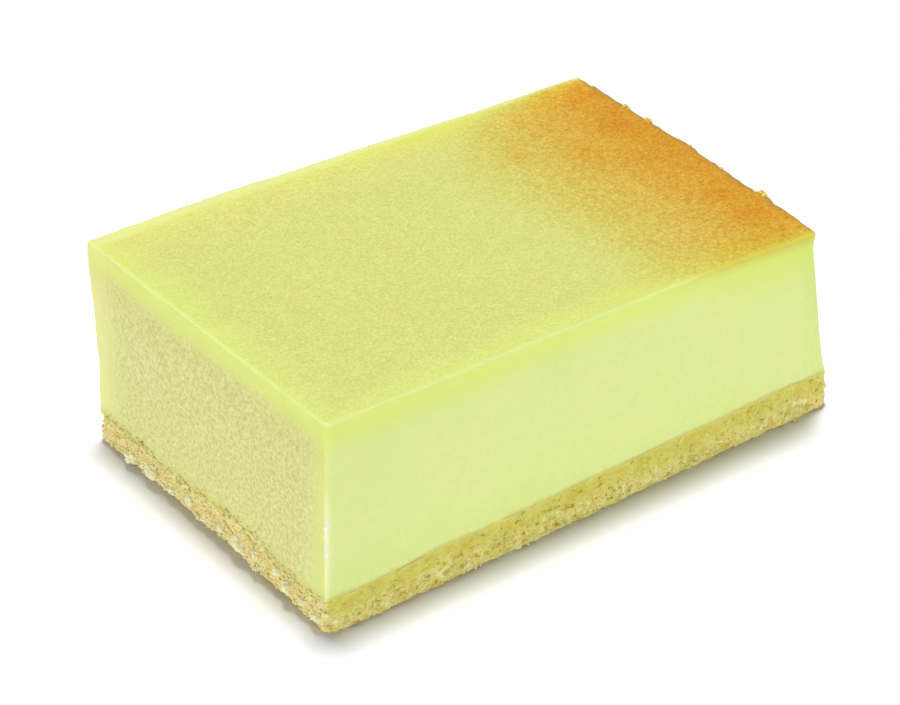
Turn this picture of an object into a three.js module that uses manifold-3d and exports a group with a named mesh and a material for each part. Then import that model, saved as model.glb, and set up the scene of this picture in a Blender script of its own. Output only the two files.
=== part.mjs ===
// A cut portion of baked cheesecake: a tall smooth filling on a thin biscuit-crumb base.
// Millimetres. +X runs along the length to the end that browned in the oven, +Z is up,
// the smooth long cut shows towards -Y and the grainy short cut towards -X.
import * as THREE from 'three';
import { mergeVertices } from 'three/addons/utils/BufferGeometryUtils.js';
import Module from 'manifold-3d';

// Driving dimensions. Construction coordinates start at the front bottom corner of the base,
// x along the length, y across the width and z up.
const LENGTH = 95.6; // base, end to end
const WIDTH = 56.2; // base, side to side
const HEIGHT = 34.4; // underside to the top skin
const JOIN_GAP = 0.3; // between the base and the filling
const BASE_RISE = 0.016; // the base thickens towards the browned end, mm per mm
const BASE_HEIGHT = 6.1; // base thickness at the left end
const WAVE_REACH = 6; // how far in from the rim the join wanders

const FILLING_INSET = 0.35; // filling cut faces behind the base's widest line
const END_FOOT = 0.9; // the same at the foot of the browned end
const END_LEAN = 5.1; // the browned end slopes in this much from base to top
const SIDE_BULGE = 1.05; // the far long side swells out at the left end
const SIDE_PINCH = 1.75; // and closes in again along the length
const LEFT_LEAN = 0.8; // the left end leans out towards its far corner
const CORNER_DROP = 0.8; // the top dips at the browned near corner
const CORNER_PULL = 2.0; // and its end edge draws in there
const CUT_ROUND = 0.6; // radius of the cut edges
const FOOT_ROUND = 0.12; // radius where the filling meets the base
const FILLING_STEPS = [26, 16, 8]; // mesh steps along, across and up
const FIRST_STEP = 0.9; // width of the mesh row beside an edge

const BASE_STEPS = 196; // mesh steps around the base
const BASE_CORNER = 1.9; // plan radius of the base's corners
const BASE_ROUGH = 0.34; // depth of the crumbly relief
const BASE_JITTER = 0.26; // depth of its single grains
const BASE_SMOOTH = 0.12; // relief of the smoother strip under the filling
const BASE_TAPER = 0.3; // the top edge of the base lies flush with the filling
const BASE_SPREAD = 0.4; // its foot squeezes out this far along the long sides
const RIM_EROSION = 0.5; // how far the lower rim is broken away

// The line where the filling meets the base, as heights above the rising plane.
const FRONT_WAVE = [[0, 0.1], [12, 0], [28, -0.3], [38, 0.1], [48, -0.2], [55, 0.1], [65, 0],
  [77, 0.4], [86, 0.2], [95.6, -0.6]];
const LEFT_WAVE = [[0, 0], [5, -0.9], [10, -0.9], [16, 0.4], [22, 0.5], [31, -0.4], [40, -1],
  [56.2, -1]];
const BACK_WAVE = [[0, -1], [14, 0.1], [31, -0.3], [48, 0.3], [62, -0.1], [80, 0.3], [95.6, -0.3]];
const RIGHT_WAVE = [[0, -0.6], [11, 0.2], [24, -0.4], [38, 0.3], [56.2, -0.3]];

// Larger clumps of the base that stand out of the left end: y, z and size.
const LEFT_CLUMPS = [[48.0, 2.0, 1.9], [42.4, 3.0, 2.1], [37.0, 2.0, 1.2], [32.4, 2.5, 1.5],
  [29.2, 1.7, 1.3], [24.4, 2.8, 1.3], [19.6, 3.6, 2.0], [16.8, 3.3, 1.5], [12.8, 2.7, 1.5],
  [9.4, 1.8, 1.7], [5.8, 2.5, 1.3]];
// Crumbs baked onto the top rim of the browned end: y and size.
const RIM_CRUMBS = [[49.5, 0.55], [43.3, 1.1], [37.9, 1.15], [29.8, 0.8], [20.7, 0.75], [12.0, 1.25],
  [5.2, 0.5]];
const SMALL_CRUMBS = 78; // smaller crumbs fused around the base

const manifold = await Module();
manifold.setup();

function seededDraw(seed) {
  let state = seed;
  return () => {
    state = (state + 0x6d2b79f5) | 0;
    let t = Math.imul(state ^ (state >>> 15), 1 | state);
    t = (t + Math.imul(t ^ (t >>> 7), 61 | t)) ^ t;
    return ((t ^ (t >>> 14)) >>> 0) / 4294967296;
  };
}

const LATTICE = 64;
const latticeDraw = seededDraw(4127);
const latticeValues = Float64Array.from({ length: LATTICE ** 3 }, () => latticeDraw() * 2 - 1);

const smooth = (t) => t * t * (3 - 2 * t);
const clamp01 = (t) => Math.min(1, Math.max(0, t));
const ramp = (t, low, high) => smooth(clamp01((t - low) / (high - low)));
const mix = (a, b, t) => a + (b - a) * t;

function latticeValue(i, j, k) {
  const wrap = (n) => ((n % LATTICE) + LATTICE) % LATTICE;
  return latticeValues[(wrap(i) * LATTICE + wrap(j)) * LATTICE + wrap(k)];
}

// Smooth value noise between -1 and 1; `size` is the width of its lumps.
function relief(x, y, z, size) {
  const p = [x / size, y / size, z / size];
  const cell = p.map(Math.floor);
  const f = p.map((value, axis) => smooth(value - cell[axis]));
  let total = 0;
  for (let corner = 0; corner < 8; corner += 1) {
    const bit = [corner & 1, (corner >> 1) & 1, (corner >> 2) & 1];
    const weight = bit.reduce((w, b, axis) => w * (b ? f[axis] : 1 - f[axis]), 1);
    total += weight * latticeValue(cell[0] + bit[0], cell[1] + bit[1], cell[2] + bit[2]);
  }
  return total;
}

function alongTable(table, t) {
  for (let i = 1; i < table.length; i += 1) {
    const [t0, v0] = table[i - 1];
    const [t1, v1] = table[i];
    if (t <= t1) {
      return mix(v0, v1, smooth(clamp01((t - t0) / (t1 - t0))));
    }
  }
  return table[table.length - 1][1];
}

// Height of the join between base and filling: a gently rising plane that wanders near the rim.
function joinHeight(x, y) {
  const near = (distance) => 1 - ramp(distance, 0, WAVE_REACH);
  const waves = [
    [near(y), alongTable(FRONT_WAVE, x)],
    [near(x), alongTable(LEFT_WAVE, y)],
    [near(WIDTH - y), alongTable(BACK_WAVE, x)],
    [near(LENGTH - x), alongTable(RIGHT_WAVE, y)],
  ];
  const weight = waves.reduce((sum, [w]) => sum + w, 0);
  const wave = waves.reduce((sum, [w, value]) => sum + w * value, 0);
  return BASE_HEIGHT + BASE_RISE * x + wave / Math.max(1, weight);
}

function topHeight(x, y) {
  const corner = ramp(x, 66, 88) * (1 - ramp(y, 0, 16));
  return HEIGHT - CORNER_DROP * corner + 0.12 * relief(x, y, 3, 17) - 0.1 * ramp(y, 30, 56);
}

// The rectangular sides of the filling, each with the lean and swell of the real cuts.
function leftFace(y, z) {
  return FILLING_INSET - LEFT_LEAN * ramp(z, 7, 30) * (0.2 + 0.8 * clamp01(y / WIDTH));
}

function rightFace(y, z) {
  const lean = END_LEAN + CORNER_PULL * (1 - ramp(y, 0, 33)) + 0.4 * ramp(y, 50, 56);
  return LENGTH - END_FOOT - lean * clamp01((z - 4) / (HEIGHT - 4)) ** 0.95;
}

function frontFace(x, z) {
  return FILLING_INSET + (0.35 - 0.009 * x) * ramp(z, 8, 32);
}

function backFace(x, z) {
  const swell = SIDE_BULGE - SIDE_PINCH * (x / LENGTH);
  return WIDTH - FILLING_INSET + swell * ramp(z, 8, 29) - 0.25 * ramp(z, 30, 34);
}

// Even mesh rows with one narrow row beside each edge, so the edge can be rounded.
function rowPosition(fraction, steps, span) {
  const i = Math.round(fraction * steps);
  if (i === 0 || i === steps) {
    return i === 0 ? 0 : span;
  }
  return FIRST_STEP + ((i - 1) / (steps - 2)) * (span - 2 * FIRST_STEP);
}

// Pulls a point near the edges of a box onto its rounded edges.
function roundedBox(point, span, radius) {
  const inner = point.map((value, axis) => Math.min(span[axis] - radius, Math.max(radius, value)));
  const away = point.map((value, axis) => value - inner[axis]);
  const length = Math.hypot(...away);
  const scale = length > radius ? radius / length : 1;
  return inner.map((value, axis) => value + away[axis] * scale);
}

function toSolid(geometry) {
  const position = geometry.attributes.position;
  const kept = [];
  const index = geometry.index.array;
  for (let i = 0; i < index.length; i += 3) {
    const [a, b, c] = [index[i], index[i + 1], index[i + 2]];
    if (a !== b && b !== c && c !== a) {
      kept.push(a, b, c);
    }
  }
  return new manifold.Manifold(new manifold.Mesh({
    numProp: 3,
    vertProperties: Float32Array.from(position.array),
    triVerts: Uint32Array.from(kept),
  }));
}

function toGeometry(solid) {
  const mesh = solid.getMesh();
  const geometry = new THREE.BufferGeometry();
  geometry.setAttribute('position', new THREE.Float32BufferAttribute(mesh.vertProperties, 3));
  geometry.setIndex(Array.from(mesh.triVerts));
  return geometry;
}

function bareMerged(geometry) {
  geometry.deleteAttribute('normal');
  geometry.deleteAttribute('uv');
  return mergeVertices(geometry, 1e-4);
}

// A small angular crumb: a jittered icosahedron, flattened a little, kept above the floor.
function crumb(centre, size, draw, detail = 0, floor = 0.04) {
  const geometry = bareMerged(new THREE.IcosahedronGeometry(1, detail));
  const position = geometry.attributes.position;
  const stretch = [0.8 + 0.4 * draw(), 0.8 + 0.4 * draw(), 0.7 + 0.4 * draw()];
  const turn = new THREE.Quaternion().setFromEuler(new THREE.Euler(draw() * 6, draw() * 6, draw() * 6));
  const corner = new THREE.Vector3();
  for (let i = 0; i < position.count; i += 1) {
    corner.fromBufferAttribute(position, i);
    corner.multiplyScalar(size * (0.84 + 0.32 * draw()));
    corner.applyQuaternion(turn);
    corner.set(corner.x * stretch[0], corner.y * stretch[1], corner.z * stretch[2]);
    corner.add(centre);
    position.setXYZ(i, corner.x, corner.y, Math.max(floor, corner.z));
  }
  return toSolid(geometry);
}

// The filling: one block of baked cheese, cut on its sides, with crumbs caught on its far rim.
function makeFilling() {
  const geometry = bareMerged(new THREE.BoxGeometry(1, 1, 1, ...FILLING_STEPS));
  const position = geometry.attributes.position;
  const span = [LENGTH, WIDTH, HEIGHT];
  for (let i = 0; i < position.count; i += 1) {
    const fraction = [position.getX(i) + 0.5, position.getY(i) + 0.5, position.getZ(i) + 0.5];
    const flat = fraction.map((value, axis) => rowPosition(value, FILLING_STEPS[axis], span[axis]));
    const radius = mix(FOOT_ROUND, CUT_ROUND, clamp01(3 * fraction[2]));
    const [fx, fy, fz] = roundedBox(flat, span, radius).map((value, axis) => value / span[axis]);
    const level = mix(BASE_HEIGHT, HEIGHT, fz);
    const x = mix(leftFace(fy * WIDTH, level), rightFace(fy * WIDTH, level), fx)
      + 0.1 * relief(fx * LENGTH, fy * WIDTH, level, 9);
    const y = mix(frontFace(fx * LENGTH, level), backFace(fx * LENGTH, level), fy)
      + 0.08 * relief(fx * LENGTH, fy * WIDTH, level + 40, 12);
    position.setXYZ(i, x, y, mix(joinHeight(x, y) + JOIN_GAP, topHeight(x, y), fz));
  }
  let filling = toSolid(geometry);
  const draw = seededDraw(77);
  for (const [y, size] of RIM_CRUMBS) {
    const x = rightFace(y, HEIGHT) - 0.35 * size;
    const centre = new THREE.Vector3(x, y, topHeight(x, y) - 0.42 * size);
    filling = filling.add(crumb(centre, size, draw, size > 1 ? 1 : 0));
  }
  return filling;
}

// A point on the rounded rectangle of the base, with its outward direction.
function rimPoint(turn) {
  const straight = [LENGTH - 2 * BASE_CORNER, WIDTH - 2 * BASE_CORNER];
  const arc = (Math.PI / 2) * BASE_CORNER;
  const total = 2 * (straight[0] + straight[1]) + 4 * arc;
  const sides = [
    { run: straight[1], from: [LENGTH, BASE_CORNER], along: [0, 1], out: [1, 0] },
    { run: straight[0], from: [LENGTH - BASE_CORNER, WIDTH], along: [-1, 0], out: [0, 1] },
    { run: straight[1], from: [0, WIDTH - BASE_CORNER], along: [0, -1], out: [-1, 0] },
    { run: straight[0], from: [BASE_CORNER, 0], along: [1, 0], out: [0, -1] },
  ];
  let rest = (((turn % 1) + 1) % 1) * total;
  for (const { run, from, along, out } of sides) {
    if (rest <= run) {
      return { x: from[0] + along[0] * rest, y: from[1] + along[1] * rest, out };
    }
    rest -= run;
    if (rest <= arc) {
      const angle = rest / BASE_CORNER;
      const way = [0, 1].map((axis) => out[axis] * Math.cos(angle) + along[axis] * Math.sin(angle));
      const hub = [0, 1].map((axis) => from[axis] + along[axis] * run - out[axis] * BASE_CORNER);
      return { x: hub[0] + way[0] * BASE_CORNER, y: hub[1] + way[1] * BASE_CORNER, out: way };
    }
    rest -= arc;
  }
  return { x: LENGTH, y: BASE_CORNER, out: [1, 0] };
}

// The base's section, from the middle of the underside round the side to the middle of the top:
// reach from the centre and height as shares of the whole.
const BASE_SECTION = [[0, 0], [0.5, 0], [0.84, 0], [0.95, 0], [0.99, 0.05], [1, 0.2], [1, 0.36],
  [1, 0.52], [1, 0.7], [1, 0.88], [0.996, 1], [0.97, 1], [0.89, 1], [0.5, 1], [0, 1]];

function baseRelief(x, y, z, share) {
  const crumbly = 1 - ramp(share, 0.5, 0.75);
  const broad = 0.6 * relief(x, y, z, 2.6) + 0.6 * relief(x, y, z + 30, 5.5);
  const grain = crumbly * BASE_JITTER * relief(x, y, z, 0.9);
  return mix(BASE_SMOOTH, BASE_ROUGH, crumbly) * broad + grain - BASE_TAPER * ramp(share, 0.5, 1);
}

// The base: pressed biscuit crumbs, smoother under the filling and broken along the lower rim.
function makeBase() {
  const points = BASE_SECTION.map(([reach], i) => new THREE.Vector2(reach, i));
  const geometry = bareMerged(new THREE.LatheGeometry(points, BASE_STEPS));
  const position = geometry.attributes.position;
  const middle = [LENGTH / 2, WIDTH / 2];
  for (let i = 0; i < position.count; i += 1) {
    const ring = Math.round(position.getY(i));
    const [reach, share] = BASE_SECTION[ring];
    const rim = rimPoint(Math.atan2(position.getX(i), position.getZ(i)) / (2 * Math.PI));
    let x = mix(middle[0], rim.x, reach);
    let y = mix(middle[1], rim.y, reach);
    let z = share * joinHeight(x, y);
    if (reach > 0.9) {
      const undercut = 0.3 * RIM_EROSION * (1 - ramp(share, 0, 0.3));
      const spread = BASE_SPREAD * Math.abs(rim.out[1]) * (1 - ramp(share, 0.2, 0.8));
      const out = share === 1 ? -BASE_TAPER : baseRelief(x, y, z, share) + spread - undercut;
      x += rim.out[0] * out;
      y += rim.out[1] * out;
      z += share > 0 && share < 0.8 ? 0.5 * BASE_JITTER * relief(x, y, z + 15, 0.9) : 0;
    }
    if (reach > 0.9 && share < 0.1) {
      const broken = 0.5 + 0.5 * relief(x, y, 12, 4.4) + 0.25 * relief(x, y, 25, 1.9);
      z += RIM_EROSION * Math.max(0.06, broken) * ramp(reach, 0.93, 0.99);
    }
    position.setXYZ(i, x, y, z);
  }
  let base = toSolid(geometry);
  const draw = seededDraw(2026);
  for (const [y, z, size] of LEFT_CLUMPS) {
    base = base.add(crumb(new THREE.Vector3(0.35 * size, y, z), size, draw, size > 1.6 ? 1 : 0));
  }
  for (let n = 0; n < SMALL_CRUMBS; n += 1) {
    const rim = rimPoint((n + 0.9 * draw()) / SMALL_CRUMBS);
    const size = 0.6 + 0.7 * draw() ** 1.5;
    const depth = size * (0.45 + 0.3 * draw()) - 0.6 * BASE_SPREAD * Math.abs(rim.out[1]);
    const low = 0.6 * size;
    const high = 0.62 * joinHeight(rim.x, rim.y);
    const centre = new THREE.Vector3(
      rim.x - rim.out[0] * depth,
      rim.y - rim.out[1] * depth,
      mix(low, Math.max(low, high), draw()),
    );
    base = base.add(crumb(centre, size, draw));
  }
  return base;
}

function finished(name, solid, colour, roughness) {
  const material = new THREE.MeshStandardMaterial({ color: colour, roughness, metalness: 0 });
  const mesh = new THREE.Mesh(toGeometry(solid), material);
  mesh.name = name;
  return mesh;
}

const cake = new THREE.Group();
cake.name = 'cheesecake_portion';
cake.add(finished('cheese_filling', makeFilling(), 0xdfe892, 0.5));
cake.add(finished('biscuit_base', makeBase(), 0xccbf6b, 0.9));

// The frame's origin is the middle of the underside of the whole portion.
const bounds = new THREE.Box3().setFromObject(cake);
const origin = bounds.getCenter(new THREE.Vector3()).setZ(bounds.min.z);
for (const mesh of cake.children) {
  mesh.geometry.translate(-origin.x, -origin.y, -origin.z);
  mesh.geometry.computeVertexNormals();
}

export default cake;
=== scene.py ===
import itertools
import math

import bmesh
import bpy
import numpy as np
from mathutils import Matrix, Vector


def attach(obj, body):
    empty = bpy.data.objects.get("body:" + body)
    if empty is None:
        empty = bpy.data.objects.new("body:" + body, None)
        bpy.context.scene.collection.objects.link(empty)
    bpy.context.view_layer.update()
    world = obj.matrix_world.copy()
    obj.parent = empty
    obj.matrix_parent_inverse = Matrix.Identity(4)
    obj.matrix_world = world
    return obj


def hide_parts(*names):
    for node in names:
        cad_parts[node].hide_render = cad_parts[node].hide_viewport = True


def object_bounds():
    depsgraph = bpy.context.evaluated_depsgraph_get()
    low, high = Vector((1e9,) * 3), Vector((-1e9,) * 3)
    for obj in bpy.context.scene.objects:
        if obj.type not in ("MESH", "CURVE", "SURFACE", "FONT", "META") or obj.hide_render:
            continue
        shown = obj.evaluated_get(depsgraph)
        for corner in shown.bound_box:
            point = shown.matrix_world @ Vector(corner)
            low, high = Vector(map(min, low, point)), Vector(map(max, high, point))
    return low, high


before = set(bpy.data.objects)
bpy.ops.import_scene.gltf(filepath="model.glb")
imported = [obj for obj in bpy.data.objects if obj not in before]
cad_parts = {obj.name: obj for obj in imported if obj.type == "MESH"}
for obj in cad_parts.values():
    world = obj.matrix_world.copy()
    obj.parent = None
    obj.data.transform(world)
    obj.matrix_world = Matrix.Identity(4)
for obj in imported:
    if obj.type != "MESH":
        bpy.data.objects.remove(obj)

cad_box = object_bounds()

# ---------------------------------------------------------------------------
# Camera: a long lens looking down on the front corner, rolled a little, as in the photo.
# It sees the smooth long cut on the right and the grainy short cut on the left.
LENS_MM, SENSOR_MM = 108.556, 36.0
CAMERA_PLACE = (-0.21745, -0.25391, 0.23483)
azimuth, elevation, roll = math.radians(-40.064), math.radians(33.602), math.radians(2.841)
camera_back = Vector((
    math.sin(azimuth) * math.cos(elevation),
    -math.cos(azimuth) * math.cos(elevation),
    math.sin(elevation),
))
camera_right = (-camera_back).cross(Vector((0, 0, 1))).normalized()
camera_up = camera_right.cross(-camera_back)
rolled_right = math.cos(roll) * camera_right + math.sin(roll) * camera_up
rolled_up = -math.sin(roll) * camera_right + math.cos(roll) * camera_up
camera_data = bpy.data.cameras.new("camera")
camera_data.lens = LENS_MM
camera_data.sensor_width = SENSOR_MM
camera = bpy.data.objects.new("camera", camera_data)
rows = zip(rolled_right, rolled_up, camera_back, CAMERA_PLACE)
camera.matrix_world = Matrix([*rows, (0, 0, 0, 1)])
bpy.context.scene.collection.objects.link(camera)
bpy.context.scene.camera = camera

# ---------------------------------------------------------------------------
# Shared tools: soft steps, seeded noise, mesh making and nodes used by every piece below.
# Shapes are worked out in millimetres from the front left corner of the base, and CORNER
# is where the frame's origin lies from there.
MM = 0.001
CORNER = np.array([47.093, 27.994, 0.0])
NOISE_CELLS, GRAIN_CELLS = 64, 32
noise_lattice = np.random.default_rng(4127).uniform(-1, 1, [NOISE_CELLS] * 3)
grain_centres = np.random.default_rng(88).uniform(0.12, 0.88, [GRAIN_CELLS] * 3 + [3])
grain_tones = np.random.default_rng(89).uniform(0, 1, [GRAIN_CELLS] * 3)


def smooth(t):
    return t * t * (3 - 2 * t)


def ramp(t, low, high):
    return smooth(np.clip((t - low) / (high - low), 0, 1))


def mix(a, b, t):
    return a + (b - a) * t


def relief(p, size):
    """Smooth noise between -1 and 1 at points p, with lumps of the given size."""
    q = p / size
    cell = np.floor(q).astype(int)
    f = smooth(q - cell)
    total = np.zeros(len(p))
    for corner in itertools.product((0, 1), repeat=3):
        bit = np.array(corner)
        weight = np.where(bit == 1, f, 1 - f).prod(axis=1)
        i, j, k = ((cell + bit) % NOISE_CELLS).T
        total += weight * noise_lattice[i, j, k]
    return total


def grains(p, size):
    """Packed grains: the distances to the nearest two centres, and the nearest's own tone."""
    q = p / size
    cell = np.floor(q).astype(int)
    nearest = np.full(len(p), 9.0)
    second = np.full(len(p), 9.0)
    tone = np.zeros(len(p))
    for step in itertools.product((-1, 0, 1), repeat=3):
        here = cell + np.array(step)
        i, j, k = (here % GRAIN_CELLS).T
        distance = np.linalg.norm(q - here - grain_centres[i, j, k], axis=1)
        closer = distance < nearest
        second = np.where(closer, nearest, np.minimum(second, distance))
        tone = np.where(closer, grain_tones[i, j, k], tone)
        nearest = np.where(closer, distance, nearest)
    return nearest, second, tone


def along(table, t):
    """Value at t on a smooth line through the table's points."""
    places, values = np.array(table).T
    i = np.clip(np.searchsorted(places, t) - 1, 0, len(places) - 2)
    share = np.clip((t - places[i]) / (places[i + 1] - places[i]), 0, 1)
    return mix(values[i], values[i + 1], smooth(share))


MERGE_DISTANCE = 1e-7


def new_piece(name, points, faces, material, layers):
    """A mesh from points in millimetres, with a float layer for each mask its material reads."""
    mesh = bpy.data.meshes.new(name)
    mesh.from_pydata(((points - CORNER) * MM).tolist(), [], faces)
    for mask, values in layers.items():
        mesh.attributes.new(mask, "FLOAT", "POINT").data.foreach_set("value", values)
    shell = bmesh.new()
    shell.from_mesh(mesh)
    bmesh.ops.remove_doubles(shell, verts=shell.verts, dist=MERGE_DISTANCE)
    bmesh.ops.recalc_face_normals(shell, faces=shell.faces)
    shell.to_mesh(mesh)
    shell.free()
    mesh.shade_smooth()
    mesh.materials.append(material)
    piece = bpy.data.objects.new(name, mesh)
    bpy.context.scene.collection.objects.link(piece)
    return piece


def lumps(centres, sizes, seed, detail, jag, shape=(1, 1, 1)):
    """Points, faces and tones of craggy lumps, each a noisy ball turned at random."""
    draw = np.random.default_rng(seed)
    ball = bmesh.new()
    bmesh.ops.create_icosphere(ball, subdivisions=detail, radius=1)
    unit = np.array([v.co[:] for v in ball.verts])
    corners = np.array([[v.index for v in f.verts] for f in ball.faces])
    ball.free()
    points, faces, tones = [], [], []
    for number, (centre, size) in enumerate(zip(centres, sizes)):
        turned = unit @ np.linalg.qr(draw.normal(size=(3, 3)))[0]
        offset = draw.uniform(0, 50, 3)
        near, following, _ = grains(unit + offset, 0.62)
        depth = (0.9 + jag * relief(unit + offset, 0.8) + 0.3 * jag * relief(unit + offset, 0.3)
                 + 0.9 * jag * np.minimum(0.6, following - near))
        stretch = draw.uniform(0.78, 1.18, 3) * shape
        points.append(centre + turned * depth[:, None] * size * stretch)
        faces.append(corners + number * len(unit))
        tones.append(np.full(len(unit), draw.uniform()))
    return np.concatenate(points), np.concatenate(faces).tolist(), np.concatenate(tones)


def colour(red, green, blue):
    """Linear colour of a display colour given from 0 to 255."""
    parts = [v / 255 for v in (red, green, blue)]
    linear = [v / 12.92 if v <= 0.04045 else ((v + 0.055) / 1.055) ** 2.4 for v in parts]
    return (*linear, 1.0)


def feed(tree, node, inputs):
    """Sets or links a node's inputs, each by its name or number."""
    for key, value in inputs.items():
        if isinstance(value, bpy.types.NodeSocket):
            tree.links.new(value, node.inputs[key])
        else:
            node.inputs[key].default_value = value


def add(tree, kind, inputs=None, **settings):
    """A new node with its settings and its inputs."""
    made = tree.nodes.new(kind)
    for key, value in settings.items():
        setattr(made, key, value)
    feed(tree, made, inputs or {})
    return made


def layer(tree, name):
    return add(tree, "ShaderNodeAttribute", attribute_name=name).outputs["Fac"]


def maths(tree, operation, a, b=0.0, c=0.0):
    made = add(tree, "ShaderNodeMath", {0: a, 1: b, 2: c}, operation=operation)
    return made.outputs[0]


def vector_maths(tree, operation, inputs):
    return add(tree, "ShaderNodeVectorMath", inputs, operation=operation).outputs[0]


def remap(tree, value, low, high, to_low=0.0, to_high=1.0):
    made = add(tree, "ShaderNodeMapRange", {0: value, 1: low, 2: high, 3: to_low, 4: to_high})
    return made.outputs[0]


def blend(tree, factor, a, b):
    made = add(tree, "ShaderNodeMix", {0: factor, 6: a, 7: b}, data_type="RGBA")
    return made.outputs[2]


def colour_ramp(tree, factor, stops):
    made = add(tree, "ShaderNodeValToRGB", {0: factor})
    elements = made.color_ramp.elements
    while len(elements) < len(stops):
        elements.new(0.5)
    for element, (place, shade) in zip(elements, stops):
        element.position = place
        element.color = shade
    return made.outputs[0]


def new_material(name):
    """An empty node material and its tree, with a Principled shader wired to the output."""
    material = bpy.data.materials.new(name)
    material.use_nodes = True
    tree = material.node_tree
    tree.nodes.clear()
    shader = add(tree, "ShaderNodeBsdfPrincipled")
    add(tree, "ShaderNodeOutputMaterial", {"Surface": shader.outputs[0]})
    return material, tree, shader


# Fine mottling: soft colour variation at a given grain width in metres, from 0 to 1.
mottle = bpy.data.node_groups.new("mottle", "ShaderNodeTree")
for socket_name, way in (("Width", "INPUT"), ("Detail", "INPUT"), ("Value", "OUTPUT")):
    mottle.interface.new_socket(socket_name, in_out=way, socket_type="NodeSocketFloat")
mottle_in = mottle.nodes.new("NodeGroupInput")
mottle_out = mottle.nodes.new("NodeGroupOutput")
mottle_place = add(mottle, "ShaderNodeTexCoord")
mottle_scale = maths(mottle, "DIVIDE", 1.0, mottle_in.outputs["Width"])
mottle_noise = add(mottle, "ShaderNodeTexNoise", {
    "Vector": mottle_place.outputs["Object"],
    "Scale": mottle_scale,
    "Detail": mottle_in.outputs["Detail"],
    "Roughness": 0.6,
})
mottle_value = remap(mottle, mottle_noise.outputs["Fac"], 0.3, 0.7)
mottle.links.new(mottle_value, mottle_out.inputs["Value"])


# Grit: packed fine grains of a given width, each with its own tone, and their domed height.
grit = bpy.data.node_groups.new("grit", "ShaderNodeTree")
for socket_name, way in (("Width", "INPUT"), ("Tone", "OUTPUT"), ("Height", "OUTPUT")):
    grit.interface.new_socket(socket_name, in_out=way, socket_type="NodeSocketFloat")
grit_in = grit.nodes.new("NodeGroupInput")
grit_out = grit.nodes.new("NodeGroupOutput")
grit_place = add(grit, "ShaderNodeTexCoord")
grit_wander = add(grit, "ShaderNodeTexNoise", {
    "Vector": grit_place.outputs["Object"], "Scale": 1400.0, "Detail": 1.0})
grit_shift = vector_maths(grit, "MULTIPLY_ADD", {
    0: grit_wander.outputs["Color"], 1: (0.0004, 0.0004, 0.0004),
    2: grit_place.outputs["Object"]})
grit_scale = maths(grit, "DIVIDE", 1.0, grit_in.outputs["Width"])
grit_cells = add(grit, "ShaderNodeTexVoronoi", {"Vector": grit_shift, "Scale": grit_scale})
grit_split = add(grit, "ShaderNodeSeparateColor", {0: grit_cells.outputs["Color"]})
grit.links.new(grit_split.outputs[0], grit_out.inputs["Tone"])
grit.links.new(remap(grit, grit_cells.outputs["Distance"], 0.0, 0.8, 1.0, 0.0),
               grit_out.inputs["Height"])


def gritty(tree, width):
    made = add(tree, "ShaderNodeGroup", {"Width": width}, node_tree=grit)
    return made.outputs["Tone"], made.outputs["Height"]


def mottled(tree, width, detail=2.0):
    made = add(tree, "ShaderNodeGroup", {"Width": width, "Detail": detail}, node_tree=mottle)
    return made.outputs["Value"]


# ---------------------------------------------------------------------------
# Studio: a white floor in a dim white room, with one soft light overhead that casts the short
# shadows round the base, and two low fills that make the shown sides as bright as the top.
floor_material, floor_tree, floor_shader = new_material("floor_white")
feed(floor_tree, floor_shader, {
    "Base Color": (0.935, 0.93, 0.985, 1), "Roughness": 0.9, "Specular IOR Level": 0.1})
floor_mesh = bpy.data.meshes.new("floor")
floor_mesh.from_pydata([(-3, -3, 0), (3, -3, 0), (3, 3, 0), (-3, 3, 0)], [], [(0, 1, 2, 3)])
floor_mesh.materials.append(floor_material)
floor = bpy.data.objects.new("floor", floor_mesh)
bpy.context.scene.collection.objects.link(floor)

world = bpy.data.worlds.new("room")
world.use_nodes = True
room = world.node_tree.nodes["Background"]
room.inputs["Color"].default_value = (0.95, 0.97, 1.05, 1)
room.inputs["Strength"].default_value = 0.2
bpy.context.scene.world = world


def soft_light(name, place, target, size, power):
    data = bpy.data.lights.new(name, "AREA")
    data.shape = "ELLIPSE"
    data.size, data.size_y = size
    data.energy = power
    light = bpy.data.objects.new(name, data)
    light.location = place
    light.rotation_euler = (Vector(target) - Vector(place)).to_track_quat("-Z", "Y").to_euler()
    bpy.context.scene.collection.objects.link(light)


soft_light("overhead", (0.016, 0.115, 1.2), (0, 0, 0), (0.235, 0.235), 12.6)
soft_light("front_fill", (0.15, -0.9, 0.1), (0, 0, 0.02), (0.6, 0.16), 3.02)
soft_light("left_fill", (-0.9, 0.05, 0.1), (0, 0, 0.02), (0.6, 0.16), 2.8)
bpy.context.scene.view_settings.view_transform = "Standard"

# ---------------------------------------------------------------------------
# Form of the bar: the tray layer's size, the join between base and filling, and the four
# cut sides with their lean and swell. The base and the filling both follow it.
LENGTH, WIDTH, HEIGHT = 95.6, 56.2, 34.4
BASE_THICK, BASE_CLIMB = 6.1, 0.016
CUT_INSET, END_INSET = 0.35, 0.9
front_wave = ((0, -0.2), (6, -0.6), (12, -0.45), (20, 0), (28, -0.35), (38, -0.4), (46, -0.3),
              (54, -0.45), (60, -0.4), (65, -0.4), (71, -0.6), (79, -0.45), (86, -0.55),
              (95.6, -1.2))
left_wave = ((0, 0), (5, -0.9), (10, -0.9), (16, 0.4), (22, 0.5), (31, -0.4), (40, -1),
             (56.2, -1))
back_wave = ((0, -1), (14, 0.1), (31, -0.3), (48, 0.3), (62, -0.1), (80, 0.3), (95.6, -0.3))
right_wave = ((0, -0.6), (11, 0.2), (24, -0.4), (38, 0.3), (56.2, -0.3))
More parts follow.
